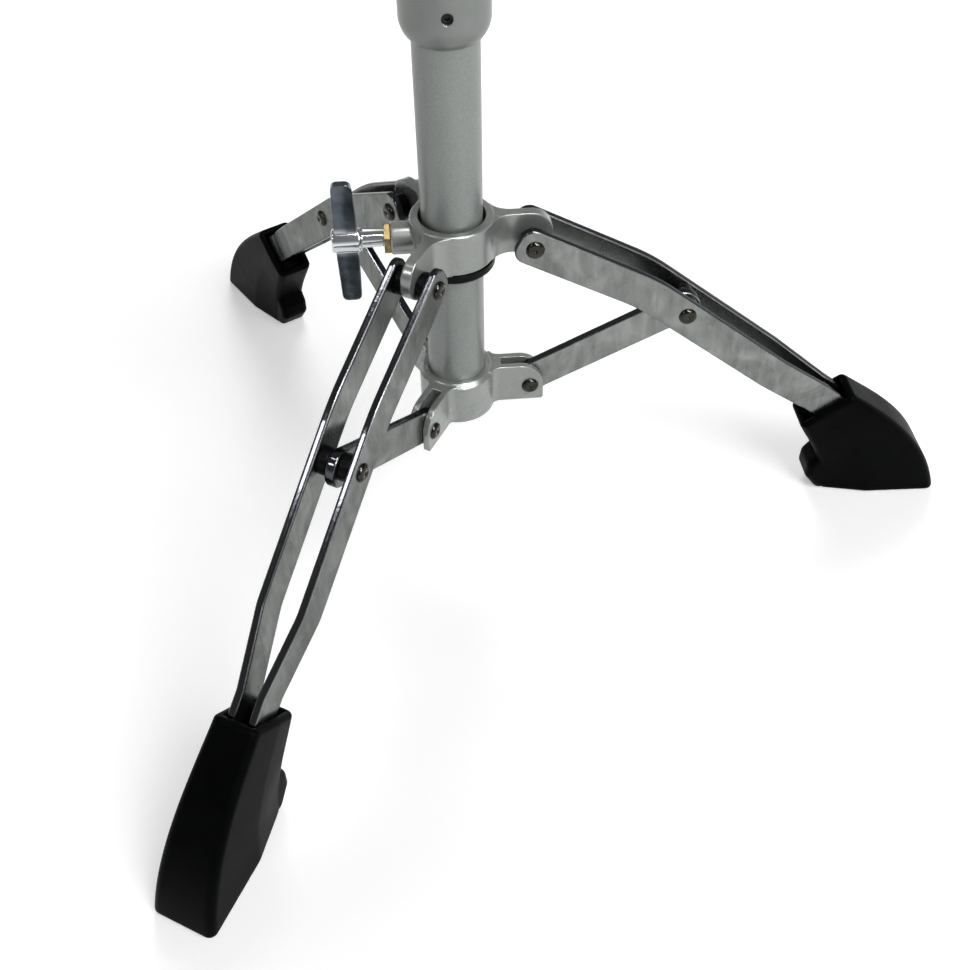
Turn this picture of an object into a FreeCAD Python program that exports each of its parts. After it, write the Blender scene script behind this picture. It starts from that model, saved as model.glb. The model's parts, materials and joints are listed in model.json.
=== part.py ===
import FreeCAD, Part
import math
import os

from FreeCAD import Rotation, Vector

os.makedirs("parts", exist_ok=True)

# Snare drum stand, millimetres. The floor is z = 0 and the tube axis is the Z axis.

# Gaps and overruns
overrun = 3.0
running_gap = 0.08
seat_gap = 0.05
side_gap = 0.25
lift_gap = 0.3

# Tripod layout
leg_count = 3
leg_step = 360.0 / leg_count
right_angle = 90.0
wing_azimuth = 180.0
set_screw_azimuth = 270.0
stay_pin_azimuth = 60.0
arm_azimuth = 60.0

# Folding linkage: leg and stay have the same length between pivots
pivot_reach = 34.1
link_length = 80.3
lower_pivot_height = 83.6
pivot_rise = 80.0

# Base tube
tube_radius = 13.0
tube_wall = 1.5
tube_insert = 34.0

# Domed rivets and black spacers
rivet_radius = 2.5
rivet_head_radius = 4.0
rivet_head_height = 1.9
spacer_radius = 6.0
spacer_length = 4.75
spacer_chamfer = 0.7

# Leg bars: flat bars bent down once in side view and drawn together towards the foot
bar_thick = 3.5
bar_height = 16.5
bar_edge_round = 0.9
bar_end_reach = 7.8
bar_end_round = 6.0
bar_lower_slope = 38.5
bar_knee_run = 22.4
bar_knee_rise = 1.45
bar_bend_radius = 90.0
bar_free_run = 125.5
bar_held_run = 19.5
bar_draw_lead = 42.5
bar_draw_end = 8.5
bar_draw_radius = 30.0
bar_draw_end_radius = 10.0
bar_tip_half_gap = 3.0

# Stays
stay_thick = 4.2
stay_height = 16.0
stay_end_shift = 1.6
stay_edge_round = 0.7

# Lower collar with three clevises
stay_collar_wall = 4.5
stay_collar_height = 22.5
stay_collar_chamfer = 2.0
stay_collar_lip = 2.5
stay_collar_lip_bore = 10.5
stay_collar_drop = 10.1
cheek_thick = 2.8
cheek_reach = 6.2
cheek_drop = 8.2
cheek_top_drop = 0.6
cheek_round = 11.0
cheek_corner_round = 1.2
cheek_fillet = 5.0
slot_floor_wall = 3.0
stay_pin_radius = 2.0
stay_pin_length = 6.0

# Sliding leg collar with three ears and a boss for the wing bolt
leg_collar_wall = 3.7
leg_collar_height = 19.0
leg_collar_drop = 6.1
leg_collar_chamfer = 1.2
ear_thick = 4.5
ear_round = 9.2
ear_centre_shift = 0.7
ear_centre_rise = 3.2
ear_fillet = 10.0
boss_radius = 7.0
boss_length = 8.2
boss_fillet = 2.0
boss_rise = 2.9

# Black bush of the sliding collar
collar_bush_wall = 1.2
collar_bush_flange_out = 3.9
collar_bush_flange_height = 4.0
collar_bush_top_drop = 3.5

# Wing bolts: a curved two-blade wing on a stepped hub, and its screw
wing_screw_radius = 2.9
wing_neck_radius = 3.4
wing_hub_radius = 5.0
wing_hub_length = 12.5
wing_hub_round = 1.0
wing_neck_length = 9.2
wing_blade_half = 28.2
wing_blade_width = 10.0
wing_blade_tip_width = 8.3
wing_blade_thick = 3.6
wing_blade_sag = 2.0
wing_bow_shares = [0.0, 0.5, 1.0]
wing_blade_round = 2.6
wing_screw_hold = 9.0
collar_nut_flats = 12.0
collar_nut_thick = 2.6

# Rubber foot: lofted through sections between an inner and an outer edge
foot_mouth_tilt = 38.1
foot_mouth_inner = 16.4
foot_mouth_outer = 13.2
foot_mouth_half = 10.2
foot_rim_round = 2.0
foot_heel_offset = 7.1
foot_tip_offset = 67.0
foot_heel_half = 8.0
foot_middle_half = 13.2
foot_side_bulge = 0.3
foot_tip_half = 14.8
foot_inner_reach_shares = [1.0, 0.765, 0.455, 0.225, 0.0]
foot_inner_height_shares = [0.0, 0.415, 0.685, 0.84, 1.0]
foot_outer_reach_shares = [1.0, 0.82, 0.516, 0.247, 0.0]
foot_outer_height_shares = [0.0, 0.35, 0.66, 0.848, 1.0]
foot_inner_width_shares = [1.0, 0.8, 0.4, 0.2, 0.0]
foot_middle_width_shares = [1.0, 0.52, 0.24, 0.1, 0.0]
foot_outer_width_shares = [1.0, 0.71, 0.36, 0.14, 0.0]
foot_middle_share = 0.4
foot_corner_round = 3.6
foot_middle_round = 14.0
foot_sole_round = 2.4
heel_half = 8.3
heel_out = 9.3
heel_low_height = 9.2
heel_high_height = 17.0
heel_notch_out = 6.0
heel_notch_height = 22.0
heel_root_in = 6.5
heel_toe_out = 2.0
heel_round = 5.0
heel_side_round = 3.2
pocket_half = 7.3
pocket_depth = 7.0
pocket_upper_room = 1.6
pocket_lower_room = 5.2
pocket_round = 2.0
grip_gap = 0.2

# Height clamp on top of the base tube
housing_foot_height = 253.0
housing_wall = 4.2
housing_length = 66.0
housing_shoulder = 8.8
housing_rim_wall = 0.8
housing_belly_share = 0.42
housing_swell_share = 0.74
housing_top_round = 1.5
housing_slit = 3.0
lug_thick = 7.0
lug_length = 16.8
lug_height = 20.0
lug_drop = 17.0
lug_round = 8.0
lug_fillet = 5.0
lug_screw_out = 9.3
clamp_nut_flats = 10.0
clamp_nut_thick = 5.0
clamp_nut_sink = 3.0
set_screw_hole_radius = 2.2
set_screw_height = 12.7
set_screw_length = 2.6
set_screw_socket = 1.1
set_screw_socket_depth = 1.2
clamp_bush_wall = 1.75
clamp_bush_flange_out = 4.2
clamp_bush_flange_height = 2.5
clamp_bush_rest_gap = 1.0

# Upper tube with its glide and memory lock
upper_tube_radius = 9.5
upper_tube_wall = 1.5
upper_tube_inside = 150.0
upper_tube_rise = 66.0
glide_length = 14.0
glide_lip = 4.0
lock_wall = 5.5
lock_height = 16.0
lock_round = 1.5
lock_slit = 2.5
lock_lug_half = 8.0
lock_lug_length = 9.0
lock_lug_round = 6.0
lock_bolt_out = 4.5
lock_bolt_radius = 2.5
lock_bolt_head = 7.0
lock_bolt_head_length = 5.0

# Tilter: two discs side by side on a cross bolt
tilter_axis_rise = 34.0
tilter_disc_radius = 17.0
tilter_disc_thick = 9.0
tilter_socket_wall = 3.7
tilter_socket_depth = 30.0
tilter_socket_round = 2.0
tilter_cap = 4.0
tilter_neck_half = 10.5
tilter_block_half = 10.5
tilter_block_rise = 19.0
tilter_block_height = 12.0
tilter_block_round = 2.5
tilter_bolt_radius = 3.9
tilter_bolt_flats = 12.0
tilter_bolt_head = 5.0
tilter_bolt_out = 1.5
tilter_nut_radius = 7.0

# Basket: post, hub, three arms, pressure spool and hand nut
post_radius = 4.0
post_sink = 9.0
post_top_rise = 40.0
post_round = 1.0
hub_rim = 6.0
hub_height = 16.0
hub_round = 2.0
hub_floor = 2.5
hub_well_gap = 1.7
hub_well_floor = 5.0
arm_pivot_reach = 17.0
arm_pivot_rise = 10.5
arm_pin_radius = 2.0
arm_pin_length = 15.0
arm_thick = 5.0
arm_half_height = 5.5
arm_tail_reach = 7.0
arm_tail_radius = 4.0
arm_neck_half = 3.0
arm_run = 150.0
arm_slope = 8.0
arm_corner_slope = 79.0
arm_corner_run = 42.0
arm_corner_radius = 14.0
arm_tip_round = 3.0
arm_edge_round = 0.8
grip_half = 7.5
grip_seat_reach = 22.0
grip_seat_thick = 6.0
grip_wall = 4.5
grip_back_drop = 12.0
grip_top = 6.0
grip_hook = 6.5
grip_hook_height = 12.0
grip_round = 2.5
grip_edge_round = 1.4
grip_groove_radius = 0.9
grip_groove_step = 4.4
grip_seat_grooves = 4
grip_back_grooves = 4
spool_radius = 11.3
spool_thick = 4.0
nut_radius = 15.0
nut_height = 12.0
nut_lobes = 6
nut_lobe_radius = 3.2
nut_lobe_out = 1.6
nut_round = 1.2

# Worked out from the sizes above
upper_pivot_height = lower_pivot_height + pivot_rise
knee_reach = pivot_reach + math.sqrt(link_length ** 2 - (pivot_rise / 2) ** 2)
knee_height = lower_pivot_height + pivot_rise / 2
bar_inner_half = ear_thick / 2 + side_gap + spacer_length
bar_mid_half = bar_inner_half + bar_thick / 2
bar_tip_mid_half = bar_tip_half_gap + bar_thick / 2
bar_outer_half = bar_inner_half + bar_thick
slot_half = stay_thick / 2 + side_gap
cheek_outer_half = slot_half + cheek_thick
stay_collar_radius = tube_radius + stay_collar_wall
stay_collar_foot = lower_pivot_height - stay_collar_drop
stay_collar_top = stay_collar_foot + stay_collar_height
tube_foot_height = stay_collar_foot + stay_collar_lip
tube_top_height = housing_foot_height + tube_insert
leg_collar_foot = upper_pivot_height - leg_collar_drop
leg_collar_top = leg_collar_foot + leg_collar_height
collar_bush_bore = tube_radius + running_gap
collar_bush_radius = collar_bush_bore + collar_bush_wall
leg_collar_radius = collar_bush_radius + leg_collar_wall
boss_reach = leg_collar_radius + boss_length
wing_height = upper_pivot_height + boss_rise
collar_wing_start = boss_reach + seat_gap + collar_nut_thick + lift_gap
clamp_wing_start = housing_slit / 2 + lug_thick + lift_gap
housing_radius = tube_radius + housing_wall
housing_top = housing_foot_height + housing_length
lug_reach = housing_radius + lug_length
lug_screw_reach = housing_radius + lug_screw_out
lug_height_mid = housing_top - lug_drop
clamp_bush_bore = upper_tube_radius + running_gap
clamp_bush_radius = clamp_bush_bore + clamp_bush_wall
clamp_bush_top = housing_top + clamp_bush_flange_height
lock_foot = clamp_bush_top + lift_gap
lock_radius = upper_tube_radius + lock_wall
lock_bolt_reach = lock_radius + lock_bolt_out
upper_tube_foot_height = tube_top_height - upper_tube_inside
upper_tube_top_height = lock_foot + lock_height + upper_tube_rise
tilter_socket_radius = upper_tube_radius + tilter_socket_wall
tilter_socket_foot = upper_tube_top_height - tilter_socket_depth
tilter_axis_height = upper_tube_top_height + tilter_axis_rise
block_foot = tilter_axis_height + tilter_block_rise
block_top = block_foot + tilter_block_height
hub_radius = arm_pivot_reach + hub_rim
hub_top = block_top + hub_height
hub_well_radius = spool_radius + hub_well_gap
arm_pivot_height = block_top + arm_pivot_rise
spool_foot = arm_pivot_height + arm_tail_radius + lift_gap
nut_foot = spool_foot + spool_thick + lift_gap


# Points in the side view of a leg and in the plan
def side(across, up):
    return Vector(across, 0, up)


def plan(across, along):
    return Vector(across, along, 0)


def lie_y(shape):
    # Turn a piece made along Z so that it lies along Y
    return shape.copy().rotate(Vector(0, 0, 0), Vector(1, 0, 0), -90)


def lie_x(shape):
    # Turn a piece made along Z so that it lies along X
    return shape.copy().rotate(Vector(0, 0, 0), Vector(0, 1, 0), 90)


def at(shape, place):
    moved = shape.copy()
    moved.translate(place)
    return moved


def turned(shape, azimuth):
    return shape.copy().rotate(Vector(0, 0, 0), Vector(0, 0, 1), azimuth)


def around(shape, first=0.0):
    return [turned(shape, first + leg_step * number) for number in range(leg_count)]


def fused(shapes):
    whole = shapes[0].multiFuse(shapes[1:])
    return whole.removeSplitter()


def rounded_face(corners, place):
    # Closed outline through corners (across, along, radius), each rounded by a tangent arc
    starts, mids, ends = [], [], []
    for number, (across, along, radius) in enumerate(corners):
        here = Vector(across, along, 0)
        before = Vector(corners[number - 1][0], corners[number - 1][1], 0)
        after = Vector(*corners[(number + 1) % len(corners)][:2], 0)
        back = (before - here).normalize()
        on = (after - here).normalize()
        half = back.getAngle(on) / 2
        inward = (back + on).normalize() if radius else Vector(0, 0, 0)
        starts.append(here + back * (radius / math.tan(half)))
        ends.append(here + on * (radius / math.tan(half)))
        mids.append(here + inward * (radius / math.sin(half) - radius))
    edges = []
    for number, (_, _, radius) in enumerate(corners):
        if radius:
            arc = [place(spot.x, spot.y) for spot in (starts[number], mids[number], ends[number])]
            edges.append(Part.Arc(*arc).toShape())
        following = starts[(number + 1) % len(corners)]
        if (following - ends[number]).Length > running_gap:
            leaving = ends[number]
            edges.append(Part.makeLine(place(leaving.x, leaving.y), place(following.x, following.y)))
    return Part.Face(Part.Wire(Part.__sortEdges__(edges)))


def plate(corners, half, place=side):
    # Prism of a rounded outline, the same thickness on both sides of the outline's plane
    through = Vector(0, 1, 0) if place is side else Vector(0, 0, 1)
    face = rounded_face(corners, place)
    face.translate(through * -half)
    return face.extrude(through * (half * 2))


def offset_path(path, distance):
    # Points of an open path moved sideways, mitred at its bends
    moved = []
    for number, here in enumerate(path):
        runs = []
        if number > 0:
            runs.append((here - path[number - 1]).normalize())
        if number < len(path) - 1:
            runs.append((path[number + 1] - here).normalize())
        normals = [Vector(-run.y, run.x, 0) for run in runs]
        middle = sum(normals, Vector(0, 0, 0)).normalize()
        moved.append(here + middle * (distance / middle.dot(normals[0])))
    return moved


def strip(path, half, bend_radii, end_rounds):
    # Corners of a band along a path: a bend's radius is that of the middle line
    left = offset_path(path, half)
    right = offset_path(path, -half)
    corners = [(left[0].x, left[0].y, end_rounds[0])]
    for number, radius in enumerate(bend_radii, start=1):
        turn = (path[number] - path[number - 1]).cross(path[number + 1] - path[number]).z
        corners.append((left[number].x, left[number].y, radius - half if turn > 0 else radius + half))
    corners.append((left[-1].x, left[-1].y, end_rounds[1]))
    corners.append((right[-1].x, right[-1].y, end_rounds[1]))
    for number, radius in reversed(list(enumerate(bend_radii, start=1))):
        turn = (path[number] - path[number - 1]).cross(path[number + 1] - path[number]).z
        corners.append((right[number].x, right[number].y, radius + half if turn > 0 else radius - half))
    corners.append((right[0].x, right[0].y, end_rounds[0]))
    return corners


def step(start, length, slope):
    # Point at a length from a start, along a slope in degrees
    angle = math.radians(slope)
    return start + Vector(length * math.cos(angle), length * math.sin(angle), 0)


def rod(radius, low, high):
    return Part.makeCylinder(radius, high - low, Vector(0, 0, low))


def tube(radius, bore, low, high):
    return rod(radius, low, high).cut(rod(bore, low - overrun, high + overrun))


def turned_profile(corners):
    # Solid of revolution about Z from a closed outline of (radius, height, round)
    return rounded_face(corners, side).revolve(Vector(0, 0, 0), Vector(0, 0, 1), 360)


def hexagon(flats, low, high):
    spots = [Vector(flats / math.sqrt(3), 0, low)]
    spots = [Rotation(Vector(0, 0, 1), 60 * number).multVec(spots[0]) for number in range(6)]
    return Part.Face(Part.makePolygon(spots + spots[:1])).extrude(Vector(0, 0, high - low))


def lug_plan(radius, half, fillet, reach):
    # Plan of a lug on a round collar, run into the collar by a fillet on each side
    centre_along = half + fillet
    centre_across = math.sqrt((radius + fillet) ** 2 - centre_along ** 2)
    share = radius / (radius + fillet)
    foot = Vector(centre_across * share, centre_along * share, 0)
    inward = Vector(-centre_across, -centre_along, 0).normalize() + Vector(0, -1, 0)
    belly = Vector(centre_across, centre_along, 0) + inward.normalize() * fillet
    mirror = [Vector(spot.x, -spot.y, 0) for spot in (foot, belly)]
    edges = [
        Part.makeLine(Vector(0, 0, 0), foot),
        Part.Arc(foot, belly, plan(centre_across, half)).toShape(),
        Part.makeLine(plan(centre_across, half), plan(reach, half)),
        Part.makeLine(plan(reach, half), plan(reach, -half)),
        Part.makeLine(plan(reach, -half), plan(centre_across, -half)),
        Part.Arc(plan(centre_across, -half), mirror[1], mirror[0]).toShape(),
        Part.makeLine(mirror[0], Vector(0, 0, 0)),
    ]
    return Part.Face(Part.Wire(edges))


def lug(radius, half, fillet, corners):
    # A lug with the side outline given by its corners
    face = lug_plan(radius, half, fillet, max(corner[0] for corner in corners) + overrun)
    low = min(corner[1] for corner in corners)
    high = max(corner[1] for corner in corners)
    face.translate(Vector(0, 0, low))
    return face.extrude(Vector(0, 0, high - low)).common(plate(corners, radius))


def rivet(half_length):
    # Domed rivet along Y, its heads outside the two faces at half_length
    dome_radius = (rivet_head_radius ** 2 + rivet_head_height ** 2) / (2 * rivet_head_height)
    shank = rod(rivet_radius, -half_length, half_length)
    dome = Part.makeSphere(dome_radius, Vector(0, 0, half_length + rivet_head_height - dome_radius))
    dome = dome.common(rod(dome_radius, half_length, half_length + dome_radius))
    far_dome = dome.mirror(Vector(0, 0, 0), Vector(0, 0, 1))
    return lie_y(fused([shank, dome, far_dome]))


def spacer(inner, outer):
    # Ring spacer along Y between two faces, chamfered at both ends
    bore = rivet_radius + seat_gap
    ring = turned_profile([
        (bore, inner, 0),
        (spacer_radius - spacer_chamfer, inner, 0),
        (spacer_radius, inner + spacer_chamfer, 0),
        (spacer_radius, outer - spacer_chamfer, 0),
        (spacer_radius - spacer_chamfer, outer, 0),
        (bore, outer, 0),
    ])
    return lie_y(ring)


def hole_y(radius, half, across, up):
    return at(lie_y(rod(radius, -half, half)), side(across, up))


# Leg bars and their path in the side view
upper_pivot = Vector(pivot_reach, upper_pivot_height, 0)
knee = Vector(knee_reach, knee_height, 0)
below_knee = step(knee, -bar_knee_rise, right_angle - bar_lower_slope)
bar_bend = step(below_knee, -bar_knee_run, -bar_lower_slope)
bar_start = upper_pivot + (upper_pivot - bar_bend).normalize() * bar_end_reach
bar_path = [bar_start, bar_bend, step(bar_bend, bar_free_run + bar_held_run, -bar_lower_slope)]
foot_mouth = step(bar_bend, bar_free_run, -bar_lower_slope)
foot_mouth_low = step(foot_mouth, -foot_mouth_inner, foot_mouth_tilt)
foot_mouth_high = step(foot_mouth, foot_mouth_outer, foot_mouth_tilt)


def beside_bar(run, across):
    # Point at a run along the lower part of a bar and a distance across the leg
    spot = step(bar_bend, run, -bar_lower_slope)
    return side(spot.x, spot.y) + Vector(0, across, 0)


def leg_bar(hand):
    # Side outline and a band square to the lower run cross each other, so the bar bends both ways
    outline = strip(bar_path, bar_height / 2, [bar_bend_radius], [bar_end_round, 0])
    upper_run = (bar_bend - bar_start).Length + bar_height
    drawn = [Vector(-upper_run, bar_mid_half, 0), Vector(bar_free_run - bar_draw_lead, bar_mid_half, 0)]
    drawn.append(Vector(bar_free_run - bar_draw_end, bar_tip_mid_half, 0))
    drawn.append(Vector(bar_free_run + bar_held_run + overrun, bar_tip_mid_half, 0))
    band = strip(drawn, bar_thick / 2, [bar_draw_radius, bar_draw_end_radius], [0, 0])
    face = rounded_face(band, beside_bar)
    square = step(Vector(0, 0, 0), upper_run, right_angle - bar_lower_slope)
    face.translate(side(-square.x, -square.y))
    deep = face.extrude(side(square.x * 2, square.y * 2))
    bar = plate(outline, bar_outer_half + overrun).common(deep)
    across = math.sin(math.pi / 4)
    long_edges = [edge for edge in bar.Edges if abs(edge.tangentAt(edge.FirstParameter).y) < across]
    bar = bar.makeFillet(bar_edge_round, long_edges)
    for across, up in ((pivot_reach, upper_pivot_height), (knee_reach, knee_height)):
        bar = bar.cut(hole_y(rivet_radius + seat_gap, bar_outer_half + overrun, across, up))
    if hand < 0:
        bar = bar.mirror(Vector(0, 0, 0), Vector(0, 1, 0))
    return bar


def foot_edge(mouth, sole_reach, reach_share, height_share):
    # Point on the inner or outer edge of the foot, between its mouth and its sole
    return Vector(mouth.x + (sole_reach - mouth.x) * reach_share, mouth.y * height_share, 0)


def foot_section(number):
    # One section of the foot, a six-cornered rounded outline across the leg
    inner = foot_edge(foot_mouth_low, foot_mouth.x + foot_heel_offset,
                      foot_inner_reach_shares[number], foot_inner_height_shares[number])
    outer = foot_edge(foot_mouth_high, foot_mouth.x + foot_tip_offset,
                      foot_outer_reach_shares[number], foot_outer_height_shares[number])
    run = (outer - inner).normalize()
    length = (outer - inner).Length
    halves = []
    for sole_half, shares in (
        (foot_heel_half, foot_inner_width_shares),
        (foot_middle_half, foot_middle_width_shares),
        (foot_tip_half, foot_outer_width_shares),
    ):
        halves.append(foot_mouth_half + (sole_half - foot_mouth_half) * shares[number])
    halves[1] += foot_side_bulge
    rounds = [foot_corner_round, foot_middle_round, foot_corner_round]
    corners = list(zip([0, length * foot_middle_share, length], halves, rounds))
    corners += [(across, -half, size) for across, half, size in reversed(corners)]

    def place(across, along):
        return side(inner.x + run.x * across, inner.y + run.y * across) + Vector(0, along, 0)

    return rounded_face(corners, place).OuterWire


def foot_heel():
    # Bump behind the sole, with a notch above it
    sole = foot_mouth.x + foot_heel_offset
    heel = plate([
        (sole + heel_root_in, 0, 0),
        (sole + heel_root_in, heel_notch_height, 0),
        (sole - heel_notch_out, heel_notch_height, 0),
        (sole - heel_out, heel_high_height, heel_round),
        (sole - heel_out, heel_low_height, heel_round),
        (sole - heel_toe_out, 0, heel_round),
    ], heel_half)
    ridges = [edge for edge in heel.Edges if edge.BoundBox.YLength < running_gap]
    ridges = [edge for edge in ridges if edge.BoundBox.XMax < sole - heel_toe_out + running_gap]
    return heel.makeFillet(heel_side_round, ridges)


def on_mouth(edge):
    # True for an edge that lies in the plane of the foot's mouth
    square = step(Vector(0, 0, 0), bar_height, foot_mouth_tilt + right_angle)
    offsets = [(vertex.Point - side(foot_mouth.x, foot_mouth.y)).dot(side(square.x, square.y))
               for vertex in edge.Vertexes]
    return max(abs(offset) for offset in offsets) < running_gap * bar_height


def foot():
    sections = [foot_section(number) for number in range(len(foot_outer_reach_shares))]
    body = Part.makeLoft(sections, True, False)
    sole = [edge for edge in body.Edges if edge.BoundBox.ZMax < running_gap]
    body = body.makeFillet(foot_sole_round, sole)
    rim = [edge for edge in body.Edges if on_mouth(edge)]
    body = body.makeFillet(foot_rim_round, rim).fuse(foot_heel())
    # Wide mouth, then a closer slot that holds the two bars
    along = (bar_path[2] - bar_path[1]).normalize()
    across = Vector(-along.y, along.x, 0)
    rim = foot_mouth_high - foot_mouth_low
    tilt = rim.dot(along) / rim.dot(across)
    upper = bar_height / 2 + pocket_upper_room
    lower = bar_height / 2 + pocket_lower_room
    corners = []
    for height, depth, size in (
        (upper, pocket_depth, pocket_round),
        (upper, -bar_height, 0),
        (-lower, -bar_height, 0),
        (-lower, pocket_depth, pocket_round),
    ):
        spot = foot_mouth + along * (height * tilt + depth) + across * height
        corners.append((spot.x, spot.y, size))
    body = body.cut(plate(corners, pocket_half))
    slot = strip([foot_mouth, bar_path[2] + along * grip_gap], bar_height / 2 + grip_gap, [], [0, 0])
    return body.cut(plate(slot, bar_tip_half_gap + bar_thick + grip_gap))


def leg_rivets():
    pin = rivet(bar_outer_half)
    return [at(pin, side(pivot_reach, upper_pivot_height)), at(pin, side(knee_reach, knee_height))]


def leg_spacers():
    pairs = []
    for start, across, up in (
        (ear_thick / 2 + side_gap, pivot_reach, upper_pivot_height),
        (stay_thick / 2 + side_gap, knee_reach, knee_height),
    ):
        ring = at(spacer(start, bar_inner_half), side(across, up))
        pairs += [ring, ring.mirror(Vector(0, 0, 0), Vector(0, 1, 0))]
    return pairs


def stay():
    # The pins sit a little below the middle line at the collar and above it at the knee
    ends = [Vector(pivot_reach, lower_pivot_height, 0), Vector(knee_reach, knee_height, 0)]
    middles = [ends[0] + Vector(0, stay_end_shift, 0), ends[1] - Vector(0, stay_end_shift, 0)]
    run = (middles[1] - middles[0]).normalize() * (stay_height / 2)
    nearly_half = stay_height / 2 - seat_gap
    outline = strip([middles[0] - run, middles[1] + run], stay_height / 2, [], [nearly_half, nearly_half])
    bar = plate(outline, stay_thick / 2)
    rims = [edge for edge in bar.Edges if edge.BoundBox.YLength < running_gap]
    bar = bar.makeFillet(stay_edge_round, rims)
    for end in ends:
        bar = bar.cut(hole_y(rivet_radius + running_gap, stay_thick, end.x, end.y))
    return bar


def stay_collar():
    ring = turned_profile([
        (0, stay_collar_foot, 0),
        (stay_collar_radius, stay_collar_foot, stay_collar_chamfer / 2),
        (stay_collar_radius, stay_collar_top - stay_collar_chamfer, 0),
        (stay_collar_radius - stay_collar_chamfer, stay_collar_top, 0),
        (0, stay_collar_top, 0),
    ])
    low = lower_pivot_height - cheek_drop
    high = stay_collar_top - cheek_top_drop
    reach = pivot_reach + cheek_reach
    clevis = lug(stay_collar_radius, cheek_outer_half, cheek_fillet, [
        (0, low, 0),
        (reach, low, cheek_corner_round),
        (reach, high, cheek_round),
        (0, high, 0),
    ])
    whole = fused([ring] + around(clevis))
    slot = Part.makeBox(reach, slot_half * 2, stay_collar_height * 2)
    slot = at(slot, Vector(stay_collar_radius + slot_floor_wall, -slot_half, stay_collar_foot - overrun))
    pin_hole = hole_y(rivet_radius + seat_gap, cheek_outer_half + overrun, pivot_reach, lower_pivot_height)
    whole = whole.cut(around(slot) + around(pin_hole))
    whole = whole.cut(rod(tube_radius + seat_gap, tube_foot_height, stay_collar_top + overrun))
    whole = whole.cut(rod(stay_collar_lip_bore, stay_collar_foot - overrun, tube_foot_height + overrun))
    return whole.cut(stay_pin(seat_gap, overrun))


def stay_pin(gap, extra):
    # Cross pin that fixes the lower collar to the tube, on the rear side
    start = stay_collar_radius - stay_pin_length
    pin = lie_x(rod(stay_pin_radius + gap, start - extra, stay_collar_radius + extra - running_gap))
    return turned(at(pin, Vector(0, 0, lower_pivot_height)), stay_pin_azimuth)


def base_tube():
    shell = tube(tube_radius, tube_radius - tube_wall, tube_foot_height, tube_top_height)
    return shell.cut(stay_pin(seat_gap, overrun))


def leg_collar():
    ring = turned_profile([
        (0, leg_collar_foot, 0),
        (leg_collar_radius, leg_collar_foot, leg_collar_chamfer),
        (leg_collar_radius, leg_collar_top, leg_collar_chamfer),
        (0, leg_collar_top, 0),
    ])
    centre_height = upper_pivot_height + ear_centre_rise
    ear_corner = ear_round - seat_gap
    ear_reach = pivot_reach - ear_centre_shift + ear_round
    ear = lug(leg_collar_radius, ear_thick / 2, ear_fillet, [
        (0, centre_height - ear_round, 0),
        (ear_reach, centre_height - ear_round, ear_corner),
        (ear_reach, centre_height + ear_round, ear_corner),
        (0, centre_height + ear_round, 0),
    ])
    boss = turned_profile([
        (0, 0, 0),
        (boss_radius, 0, 0),
        (boss_radius, boss_reach, boss_fillet / 2),
        (0, boss_reach, 0),
    ])
    boss = turned(at(lie_x(boss), Vector(0, 0, wing_height)), wing_azimuth)
    whole = fused([ring] + around(ear) + [boss])
    bore = collar_bush_radius + seat_gap
    whole = whole.cut(rod(bore, leg_collar_foot - overrun, leg_collar_top + overrun))
    screw_hole = lie_x(rod(wing_screw_radius + running_gap, 0, boss_reach + overrun))
    screw_hole = turned(at(screw_hole, Vector(0, 0, wing_height)), wing_azimuth)
    half = ear_thick / 2 + overrun
    pin_hole = hole_y(rivet_radius + running_gap, half, pivot_reach, upper_pivot_height)
    return whole.cut(around(pin_hole) + [screw_hole])


def collar_bush():
    flange_top = leg_collar_foot - seat_gap
    flange_foot = flange_top - collar_bush_flange_height
    flange = collar_bush_radius + collar_bush_flange_out
    bush = turned_profile([
        (collar_bush_bore, flange_foot, 0),
        (flange, flange_foot, leg_collar_chamfer),
        (flange, flange_top, 0),
        (collar_bush_radius, flange_top, 0),
        (collar_bush_radius, leg_collar_top - collar_bush_top_drop, 0),
        (collar_bush_bore, leg_collar_top - collar_bush_top_drop, 0),
    ])
    screw_hole = lie_x(rod(wing_screw_radius + running_gap, 0, boss_reach))
    return bush.cut(turned(at(screw_hole, Vector(0, 0, wing_height)), wing_azimuth))


def collar_nut():
    nut = hexagon(collar_nut_flats, boss_reach + seat_gap, boss_reach + seat_gap + collar_nut_thick)
    centre = Vector(0, 0, boss_reach - collar_nut_thick / 2)
    nut = nut.common(Part.makeSphere(collar_nut_flats / 2 + boss_fillet, centre))
    nut = nut.cut(rod(wing_screw_radius + running_gap, boss_reach - overrun, boss_reach * 2))
    return turned(at(lie_x(nut), Vector(0, 0, wing_height)), wing_azimuth)


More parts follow.
